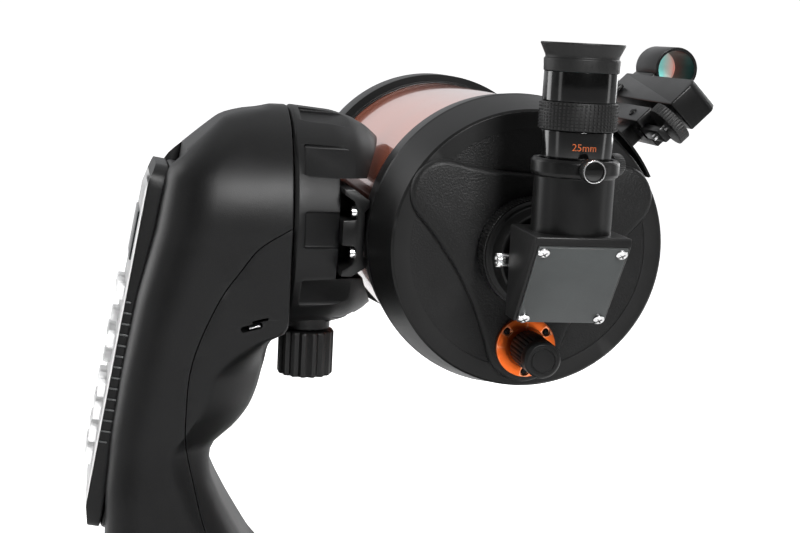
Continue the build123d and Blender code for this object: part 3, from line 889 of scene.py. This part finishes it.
def thumbScrew(name, centre, radius, high):
    # a knurled head along Z with a raised rim round a dished face
    head = fluted(name, centre, "Z", 0, high, radius, 0.28, 34)
    eased(head, 0.45, 2, 60)
    dish = turned("dish", centre, "Z", rounded([(0, high - 0.7), (radius - 1.2, high - 0.7, 0.3),
            (radius - 0.9, high + 1),
                                                (0, high + 1)], 0, 3, closed=False), 48)
    return shaped(head, "DIFFERENCE", dish)


def makeBack():
    ring = fluted("visualBackRing", heart, "Y", back["ringTo"], back["ringFrom"], back["ringRadius"],
            0.45, back["knurls"])
    eased(ring, 0.5, 2, 60)
    dressed(ring, "black_aluminium", "visual_back_ring", "visual_back_ring", smooth=40)
    flange = turned("visualBackFace", heart, "Y", rounded([
        (20, -120), (27.6, -120), (27.6, -134.4, 0.8), (26.2, -135.6, 0.6), (24.8, -136.2, 1.5),
        (23.4, -147, 1.2),
        (22.4, -148, 0.8), (18.3, -148, 0.4), (18.3, -130), (20, -130)], 0, 3), 128)
    dressed(flange, "cast_black", "visual_back_ring")
    nose = turned("visualBackTube", heart, "Y", rounded([(16, -129.5), (17.9, -129.5), (17.9, -156.4),
            (16, -156.4)], 0.5, 3), 96)
    dressed(nose, "black_aluminium", "optical_tube", "visual_back_tube")
    place = spot(-20.4, -152.5, 0)
    screw = thumbScrew("visualBackScrew", place, 3.3, 6.5)
    stem = turned("stem", place, "Z", rounded([(0, -4.2), (1.6, -4.2), (1.6, -1.2), (2.3, -1.2),
            (2.3, 0.2), (0, 0.2)], 0.2, 2,
                                              closed=False), 32)
    screw = joined(screw, stem)
    moved(screw, about(place, "Y", -90))
    dressed(screw, "chrome", "visual_back_screw", "visual_back_screw", smooth=40)
    makeFocuser()


def makeFocuser():
    height = back["focusHeight"]
    place = spot(0, 0, height)
    reach = back["flangeRadius"]
    flange = turned("focuserFlange", place, "Y", rounded([(0, -116.5), (reach, -116.5),
            (reach, back["flangeTo"]),
                                                          (10.2, back["flangeTo"]), (10.2, -119.6),
                                                          (0, -119.6)], 0.5, 3,
                                                         closed=False), 96)
    for angle in (38, 142, 270):
        away = Vector((math.cos(math.radians(angle)), 0, math.sin(math.radians(angle)))) * 12.9 * mm
        hole = turned("hole", place + away, "Y", [(0, -122), (2.2, -122), (2.2, -119.4), (0, -119.4)], 24)
        shaped(flange, "DIFFERENCE", hole)
        head = screwHead("focuserScrew", 1.75, 1.3, place + away)
        moved(head, Matrix.Translation(Vector((0, -119.4, 0)) * mm) @ about(place + away, "X", 90))
        dressed(head, "black_aluminium", "optical_tube")
    eased(flange, 0.25, 2, 50)
    dressed(flange, "orange_anodised", "optical_tube", "focuser_flange")
    start, end = back["knobFrom"], back["knobTo"]
    knob = fluted("focusKnob", place, "Y", end + 7.5, start - 2, back["knobRadius"], 0.5, 26, 0.6)
    eased(knob, 0.5, 2, 60)
    dressed(knob, "black_rubber", "focus_knob", "focus_knob", smooth=40)
    cap = turned("focusKnobCap", place, "Y", rounded([
        (0, start), (8.4, start), (8.4, end + 8), (9.35, end + 7.6, 0.5), (9.3, end + 1.2, 1.6),
        (7.9, end, 0.9),
        (6.3, end, 0.1), (6.1, end + 0.35, 0.1), (5.8, end + 0.35, 0.1), (5.6, end, 0.1), (0, end)], 0,
        4, closed=False), 96)
    dressed(cap, "cast_black", "focus_knob")


# the star diagonal: housing, cover plate, eyepiece holder and thumbscrews
diagonal = {
    "half": 22.6, "side": [(-159.3, 18.8, 1.0), (-204, 18.8, 0.8), (-204, 15.0, 0.8),
            (-174, -25.5, 0.8), (-159.3, -25.5, 0.8)],
    "holder": -182.3, "holderRadius": 18.7, "collarRadius": 20.5, "slope": (0, -189, -5.1),
    "slopeTurn": 126.35,
    "screws": (18.4, 21.7), "screwGap": 120,
}


def makeDiagonal():
    half = diagonal["half"]
    housing = slab("diagonalHousing", "X", rounded(diagonal["side"], 0.8, 3), -half, half)
    eased(housing, 1.0, 3, 60)
    place = spot(0, diagonal["holder"], 0)
    well = turned("well", place, "Z", [(0, 14), (15.95, 14), (15.95, 30), (0, 30)], 64)
    shaped(housing, "DIFFERENCE", well)
    dressed(housing, "cast_black", "star_diagonal", "diagonal_housing", smooth=40)
    nose = turned("diagonalNose", heart, "Y", rounded([(13, -130.2), (15.8, -130.2), (15.8, -160),
            (13, -160)], 0.4, 2), 80)
    dressed(nose, "chrome", "star_diagonal")
    radius, collar = diagonal["holderRadius"], diagonal["collarRadius"]
    holder = turned("eyepieceHolder", place, "Z", rounded([
        (15.95, 18.4), (radius, 18.4, 0.4), (radius, 44.6, 0.6), (collar - 0.5, 45.4, 0.8),
        (collar, 46.8, 0.8),
        (collar, 51.6, 0.9), (collar - 0.9, 53, 0.5), (17.6, 53, 0.2), (17.6, 52.2), (15.95, 52.2)], 0,
        4), 128)
    dressed(holder, "black_aluminium", "star_diagonal")
    slope = spot(*diagonal["slope"])
    turn = about(slope, "X", diagonal["slopeTurn"])
    plate = slab("diagonalPlate", "Z", rounded([(-21.2, -24.8), (21.2, -24.8), (21.2, 24.8),
            (-21.2, 24.8)], 0.9, 3), 0.1, 1.5, slope)
    eased(plate, 0.35, 2, 60)
    moved(plate, turn)
    dressed(plate, "grey_aluminium", "star_diagonal", "diagonal_plate")
    wide, tall = diagonal["screws"]
    heads = []
    for x in (-wide, wide):
        for y in (-tall, tall):
            heads.append(screwHead("plateScrew", 2.75, 1.5, slope + Vector((x, y, 1.5)) * mm))
    heads = joined(*heads)
    heads.name = "diagonalScrews"
    moved(heads, turn)
    dressed(heads, "chrome", "star_diagonal", "diagonal_screws")
    makeHolderScrew("holderScrewRear", 0, "holder_screw_rear")
    makeHolderScrew("holderScrewSide", diagonal["screwGap"], "holder_screw_side")


def makeHolderScrew(name, turn, node):
    place = spot(0, diagonal["holder"] - 23, 49.4)
    grid = about(spot(0, diagonal["holder"], 0), "Z", turn) @ about(place, "X", 90)
    head = thumbScrew(name, place, 5.4, 6.6)
    stem = turned("stem", place, "Z", rounded([(0, -6), (1.5, -6), (1.5, -1.5), (2.8, -1.5), (2.8, 0.4),
            (0, 0.4)], 0.2, 2,
                                              closed=False), 32)
    head = moved(joined(head, stem), grid)
    dressed(head, "black_aluminium", node, node, smooth=40)
    rim = turned(name + "Rim", place, "Z", rounded([(4.6, 6.2), (5.15, 6.2), (5.15, 6.62), (4.6, 6.62)],
            0.12, 2), 64)
    moved(rim, grid)
    dressed(rim, "chrome", node)
    face = turned(name + "Face", place, "Z", rounded([(0, 5.2), (4.35, 5.2), (4.35, 6.1), (0, 6.3)],
            0.2, 2, closed=False), 48)
    moved(face, grid)
    dressed(face, "gloss_black", node)


# the eyepiece: barrels, beaded grip, eyecup
eyepiece = {
    "grip": (66.1, 78.9), "gripRadius": 17.75, "beadRows": 8, "beadsRound": 56, "bead": (1.2, 1.35, 1.1),
    "mark": "25mm", "markSize": 4.6, "markHeight": 57.4, "markTurn": -4,
}


def makeEyepiece():
    place = spot(0, diagonal["holder"], 0)
    barrel = turned("eyepieceBarrel", place, "Z", rounded([
        (12.8, 22.2), (15.8, 22.2, 0.4), (15.8, 53.3), (16.35, 53.3, 0.3), (16.75, 65.6, 0.4),
        (16.3, 66.2), (16.3, 78.8),
        (17.15, 79.3, 0.4), (17.15, 92.5, 0.3), (12.8, 92.5)], 0, 3), 128)
    dressed(barrel, "gloss_black", "eyepiece", "eyepiece_barrel")
    low, high = eyepiece["grip"]
    reach = eyepiece["gripRadius"]
    grip = turned("eyepieceGrip", place, "Z", rounded([(16.2, low), (reach, low),
            (reach + 0.15, (low + high) / 2),
                                                       (reach, high), (16.2, high)], 0.5, 3), 128)
    dressed(grip, "black_rubber", "eyepiece", "eyepiece_grip")
    letGo()
    bpy.ops.mesh.primitive_cube_add(size=mm, scale=eyepiece["bead"],
            location=place + Vector((reach, 0, low + 1)) * mm)
    bead = settled(bpy.context.object)
    # each bead narrows outwards
    middle = place + Vector((reach, 0, low + 1)) * mm
    for vertex in bead.data.vertices:
        if vertex.co.x > middle.x:
            vertex.co.yz = middle.yz.lerp(vertex.co.yz, 0.62)
    beads = []
    for row in range(eyepiece["beadRows"]):
        rise = (high - low - 1.9) * row / (eyepiece["beadRows"] - 1)
        for number in range(eyepiece["beadsRound"]):
            turn = 360 * number / eyepiece["beadsRound"]
            one = bead.copy()
            one.data = bead.data.copy()
            bpy.context.collection.objects.link(one)
            one.data.transform(Matrix.Translation(Vector((0, 0, rise)) * mm) @ about(place, "Z", turn))
            beads.append(one)
    bpy.data.objects.remove(bead)
    beads = joined(*beads)
    beads.name = "gripBeads"
    dressed(beads, "black_rubber", "eyepiece", smooth=20)
    cup = turned("eyecup", place, "Z", rounded([
        (11, 92.6), (17.4, 92.6, 0.5), (17.6, 98.2, 0.7), (16.9, 99.0, 0.5), (17.1, 100, 2),
        (19.5, 105.1, 0.5),
        (19.3, 105.75, 0.3), (18.7, 105.6, 0.3), (16.3, 100.4, 2), (15.6, 97, 1), (11, 96.2, 0.5)], 0,
        4), 128)
    dressed(cup, "black_rubber", "eyepiece", "eyecup")
    makeMark(place)


def makeMark(place):
    # the focal length, wrapped round the lower barrel
    letGo()
    bpy.ops.object.text_add()
    words = bpy.context.object
    words.data.body = eyepiece["mark"]
    words.data.size = eyepiece["markSize"] * mm
    words.data.align_x = "CENTER"
    words.data.extrude = 0.05 * mm
    words.data.resolution_u = 3
    bpy.ops.object.convert(target="MESH")
    words.name = "focalLengthMark"
    finished(words, "TRIANGULATE")
    pick(words)
    bpy.ops.object.mode_set(mode="EDIT")
    bpy.ops.mesh.select_all(action="SELECT")
    bpy.ops.mesh.subdivide(number_cuts=1)
    bpy.ops.object.mode_set(mode="OBJECT")
    for vertex in words.data.vertices:
        rise = vertex.co.y + eyepiece["markHeight"] * mm
        reach = (16.38 + (rise / mm - 53.3) * 0.034 + 0.03) * mm + vertex.co.z
        angle = vertex.co.x / (16.6 * mm) + math.radians(eyepiece["markTurn"] - 90)
        vertex.co = place + Vector((reach * math.cos(angle), reach * math.sin(angle), rise))
    tidyMesh(words)
    dressed(words, "orange_anodised", "eyepiece")


# the finder, modelled above the tube and then turned round it
finder = {"turn": 45, "lensCentre": 132.8}


def makeFinder():
    grid = about(heart, "Y", finder["turn"])
    made = []
    side = [(-128, 100.9, 1.2), (-128, 115.4, 4), (-123.6, 118.9, 3), (-23, 118.9, 1.5), (-23, 105, 3),
            (-30, 100.9, 3)]
    beam = slab("finderBody", "X", rounded(side, 0, 5), -9, 9)
    eased(beam, 1.0, 3, 50)
    for height in (-64.5, -69.5):
        slit = slab("slit", "Z", rounded([(-5, height - 1.1), (5, height - 1.1), (5, height + 1.1),
                (-5, height + 1.1)], 1),
                    116.8, 120)
        shaped(beam, "DIFFERENCE", slit)
    made.append((beam, "black_aluminium", "finder", ["finder_body"]))
    ring = turned("finderRing", spot(0, 0, finder["lensCentre"]), "Y", rounded([
        (10.25, -57.8), (12.1, -57.8), (12.1, -25.2), (10.25, -25.2)], 0.5, 3), 96)
    made.append((ring, "black_aluminium", "finder", []))
    saddle = eased(block("finderSaddle", -7, 7, -57, -26, 117.5, 122.4), 0.8, 3, 50)
    made.append((saddle, "black_aluminium", "finder", []))
    lens = turned("finderLens", spot(0, 0, finder["lensCentre"]), "Y", [
        (0, -30.6), (4, -30.3), (8, -29.4), (10.2, -28.6), (10.2, -27.6), (0, -27.6)], 64)
    made.append((lens, "lens_glass", "finder", ["finder_lens"]))
    hinge = screwHead("finderHinge", 2.6, 1.4, spot(-12, -36, 104))
    made.append((moved(hinge, about(spot(-12, -36, 104), "Y", -90)), "black_aluminium", "finder", []))
    wheel = fluted("finderWheel", spot(0, -122, 0), "Z", 92.6, 98.4, 11.5, 0.45, 40)
    eased(wheel, 0.6, 2, 60)
    made.append((wheel, "black_rubber", "finder_wheel", ["finder_wheel"]))
    stem = turned("finderStem", spot(0, -122, 0), "Z", [(0, 84.2), (1.5, 84.2), (1.5, 98.6), (0, 98.6)],
            32)
    made.append((stem, "steel", "finder_wheel", []))
    made += finderBracket()
    for piece, slotName, body, nodes in made:
        moved(piece, grid)
        dressed(piece, slotName, body, *nodes, smooth=40)


def finderBracket():
    # a saddle on the tube's cell, a post, and a clamp block with two ears round the finder
    foot = turned("finderFoot", heart, "Y", rounded([(78.15, -94.8), (79.55, -94.8), (79.55, -62.2),
            (78.15, -62.2)], 0.4, 2), 240)
    sector = slab("sector", "Y", [(0, 0), (-30, 100), (30, 100)], -100, -58)
    shaped(foot, "INTERSECT", sector)
    post = eased(block("finderPost", -5, 5, -92, -74, 79, 87), 1.0, 3, 50)
    blockSide = [(-109, 86.2, 1), (-48, 86.2, 1), (-48, 96.8, 1), (-109, 96.8, 1)]
    clamp = eased(slab("finderClamp", "X", rounded(blockSide, 1), -9.1, 9.1), 1.0, 3, 50)
    gap = block("gap", -4.2, 4.2, -130, -100, 85, 98)
    shaped(clamp, "DIFFERENCE", gap)
    tail = eased(block("finderTail", -4, 4, -130, -104, 86.1, 90), 0.8, 2, 50)
    ears = [eased(block("finderEar", x, x + 2.8, -44, -30, 91, 107.8), 0.8, 3, 50) for x in (-12.1, 9.3)]
    yoke = eased(block("finderYoke", -12.1, 12.1, -50, -30, 88, 96.8), 1.0, 3, 50)
    made = []
    for number, piece in enumerate([foot, post, clamp, tail, yoke] + ears):
        made.append((piece, "black_aluminium", "optical_tube", ["finder_bracket"] if number == 0 else []))
    for y in (-58, -92):
        head = screwHead("clampScrew", 2.4, 1.3, spot(-9, y, 91.5))
        moved(head, about(spot(-9, y, 91.5), "Y", -90))
        made.append((head, "black_aluminium", "optical_tube", []))
    return made


# the dovetail bar on the tube and the jaw that grips it
rail = {
    "section": [(-89.7, 23.2, 0.4), (-84, 23.2, 1), (-75.7, 17.6, 0.8), (-75.7, 14.2, 0.8),
            (-78.2, 11.6, 2), (-78.2, -11.6, 2),
                (-75.7, -14.2, 0.8), (-75.7, -17.6, 0.8), (-84, -23.2, 1), (-89.7, -23.2, 0.4),
                (-89.3, -20.4, 0.5),
                (-84.2, -17.2, 2), (-82, -12, 2), (-82.6, -7, 1.5), (-89.7, -6.6, 0.4),
                (-89.7, 6.6, 0.4), (-82.6, 7, 1.5),
                (-82, 12, 2), (-84.2, 17.2, 2), (-89.3, 20.4, 0.5)],
    "from": -71, "to": 145,
}


def makeRail():
    bar = slab("dovetailBar", "Y", rounded(rail["section"], 0, 3), rail["from"], rail["to"])
    eased(bar, 0.35, 2, 60)
    dressed(bar, "black_aluminium", "optical_tube", "dovetail_bar", smooth=40)
    low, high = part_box("clamp_jaw")
    jaw = block("clampJaw", low.x / mm, high.x / mm, low.y / mm, high.y / mm, low.z / mm, high.z / mm,
            Vector())
    eased(jaw, 1.4, 3, 50)
    dressed(jaw, "black_aluminium", "clamp_jaw", "clamp_jaw")


# the round base: drum that turns and plate that stands
stand = {
    "drum": [(0, 31.2), (133.4, 31.2, 1), (141, 35, 7), (145.9, 44, 10), (145.9, 74, 30),
            (142.4, 88, 16), (132, 97.4, 14),
             (124, 97.9, 2), (123, 96.9, 0.8), (118, 96.9, 0.8), (117, 97.9, 0.8), (0, 97.9)],
    "plate": [(12.3, 0.1), (61.8, 0.1, 1), (66, 6, 1), (119.9, 6, 1.5), (119.9, 23.8, 5),
            (112, 29.9, 3), (12.3, 29.9)],
    "doorRidges": 7,
}


def makeStand():
    ground = Vector()
    drum = turned("turntableHousing", ground, "Z", rounded(stand["drum"], 0, 6, closed=False), 200)
    low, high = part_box("battery_door")
    gap = 0.4
    well = block("well", low.x / mm - gap, high.x / mm + gap, low.y / mm - gap, high.y / mm + gap, 94.6,
            100, ground)
    shaped(drum, "DIFFERENCE", well)
    rockerLow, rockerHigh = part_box("power_switch")
    middle = (rockerLow + rockerHigh) / 2
    hole = block("hole", -9, 9, -6, 6, -4, 4, Vector((middle.x, middle.y, high.z)))
    shaped(drum, "DIFFERENCE", hole)
    levelLow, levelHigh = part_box("bubble_level")
    levelPlace = Vector(((levelLow.x + levelHigh.x) / 2, (levelLow.y + levelHigh.y) / 2, 0))
    cup = turned("cup", levelPlace, "Z", [(0, 95.5), (9.2, 95.5), (9.2, 100), (0, 100)], 48)
    shaped(drum, "DIFFERENCE", cup)
    groove = turned("groove", ground, "Z", [(144.9, 61.4), (150, 61.4), (150, 62.3), (144.9, 62.3)], 200)
    shaped(drum, "DIFFERENCE", groove)
    tidyMesh(drum)
    eased(drum, 0.5, 2, 50)
    dressed(drum, "drum_casing", "turntable", "turntable_housing", smooth=38)
    door = block("batteryDoor", low.x / mm, high.x / mm, low.y / mm, high.y / mm, low.z / mm,
            high.z / mm, ground)
    eased(door, 0.7, 3, 50)
    ridges = []
    for number in range(stand["doorRidges"]):
        x = high.x / mm - 10 - number * 2.6
        ridges.append(eased(block("ridge", x - 0.7, x + 0.7, -13, 13, high.z / mm - 0.7,
                high.z / mm + 1, ground), 0.3, 2, 50))
    for ridge in ridges:
        shaped(door, "DIFFERENCE", ridge)
    dressed(door, "drum_casing", "battery_door", "battery_door", smooth=38)
    plate = turned("basePlate", ground, "Z", rounded(stand["plate"], 0, 4), 160)
    for number in range(3):
        away = Matrix.Rotation(math.radians(90 + 120 * number), 3, "Z") @ Vector((50, 0, 0)) * mm
        hole = turned("hole", away, "Z", [(0, -2), (4.25, -2), (4.25, 31), (0, 31)], 32)
        shaped(plate, "DIFFERENCE", hole)
    dressed(plate, "cast_black", "base", "base_plate", smooth=38)
    dome = turned("levelGlass", levelPlace, "Z", rounded([(0, 95.7), (8.9, 95.7), (8.9, 98.2, 0.4),
            (6, 99, 2), (0, 99.1)],
                                                        0, 4, closed=False), 64)
    dressed(dome, "level_fluid", "turntable", "bubble_level")
    bezel = turned("levelBezel", levelPlace, "Z", rounded([(9, 95.6), (9.15, 95.6), (9.15, 98.3),
            (8.6, 98.9), (8.2, 98.5)],
                                                         0.1, 2), 64)
    dressed(bezel, "black_aluminium", "turntable")


makeTube()
print("stage: optical tube")
makeRail()
makeHub()
print("stage: dovetail, jaw and hub")
makeArm()
print("stage: fork arm")
makeControl()
print("stage: hand control")
makeBack()
print("stage: visual back and focuser")
makeDiagonal()
makeEyepiece()
print("stage: star diagonal and eyepiece")
makeFinder()
print("stage: finder")
makeStand()
print("stage: base")
